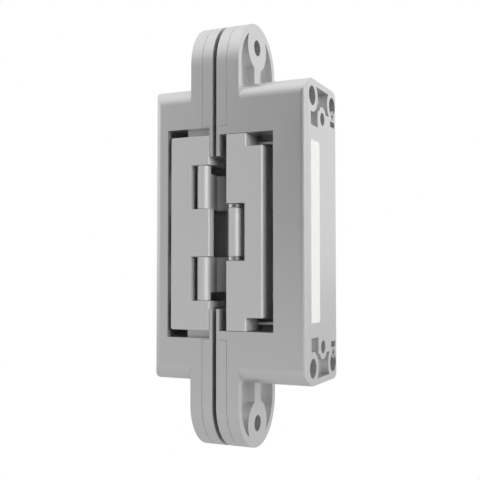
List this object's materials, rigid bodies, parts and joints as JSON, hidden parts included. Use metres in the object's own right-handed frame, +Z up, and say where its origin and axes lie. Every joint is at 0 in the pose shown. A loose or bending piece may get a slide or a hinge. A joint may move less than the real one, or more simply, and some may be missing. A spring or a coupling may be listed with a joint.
{
  "type": "concealed invisible door hinge",
  "caption": "Concealed hinge whose two halves are let into the edges of a door and its frame, joined by crossing arms that fold away as the door closes.",
  "frame": {"origin": "centre of the frame half's two screw holes, on the rear faces of its tongues, which lie on the frame's timber", "axes": "+X across the gap from the frame half to the door half, -Y the side that the door opens to, +Z up along both halves, with the hinge closed"},
  "size_m": [0.0564, 0.032, 0.148],
  "materials": {
    "satin_casting": "satin nickel plated die casting",
    "satin_cover": "satin nickel plated cover",
    "bright_steel": "bright ground steel"
  },
  "bodies": {
    "frame_half": {"frame_case": "satin_casting", "frame_cap_top": "satin_cover", "frame_cap_bottom": "satin_cover"},
    "frame_slide": {"frame_carrier": "satin_casting", "frame_knuckle_pin_top": "bright_steel", "frame_knuckle_pin_bottom": "bright_steel", "height_rod_top": "bright_steel", "height_rod_bottom": "bright_steel"},
    "forked_link": {"forked_arm": "satin_casting", "centre_pin": "bright_steel", "door_guide_pin": "bright_steel"},
    "centre_link": {"centre_arm": "satin_casting", "frame_guide_pin": "bright_steel"},
    "door_slide": {"door_carrier": "satin_casting", "door_knuckle_pin": "bright_steel", "door_knuckle_washer_top": "bright_steel", "door_knuckle_washer_bottom": "bright_steel"},
    "door_half": {"door_case": "satin_casting", "door_cap_top": "satin_cover", "door_cap_bottom": "satin_cover", "side_screw_top": "bright_steel", "side_screw_bottom": "bright_steel", "back_screw_top": "bright_steel", "back_screw_bottom": "bright_steel"}
  },
  "joints": [
    {"name": "height_setting", "type": "slide", "parent": "frame_half", "child": "frame_slide", "axis": [0, 0, 1], "range_m": [-0.0025, 0.0025]},
    {"name": "frame_knuckle", "type": "hinge", "parent": "frame_slide", "child": "forked_link", "pos_m": [0.00395, -0.01365, 0], "axis": [0, 0, -1], "range_deg": [0, 120]},
    {"name": "centre_pivot", "type": "hinge", "parent": "forked_link", "child": "centre_link", "pos_m": [0.00978, -0.0005, 0], "axis": [0, 0, -1], "range_deg": [-60, 0]},
    {"name": "door_knuckle", "type": "hinge", "parent": "centre_link", "child": "door_slide", "pos_m": [0.01561, -0.01365, 0], "axis": [0, 0, -1], "range_deg": [0, 120]},
    {"name": "side_setting", "type": "slide", "parent": "door_slide", "child": "door_half", "axis": [1, 0, 0], "range_m": [-0.0011, 0.002]}
  ],
  "couplings": [
    {"joint": "centre_pivot", "follows": "frame_knuckle", "ratio": -0.5},
    {"joint": "door_knuckle", "follows": "frame_knuckle", "ratio": 1}
  ]
}
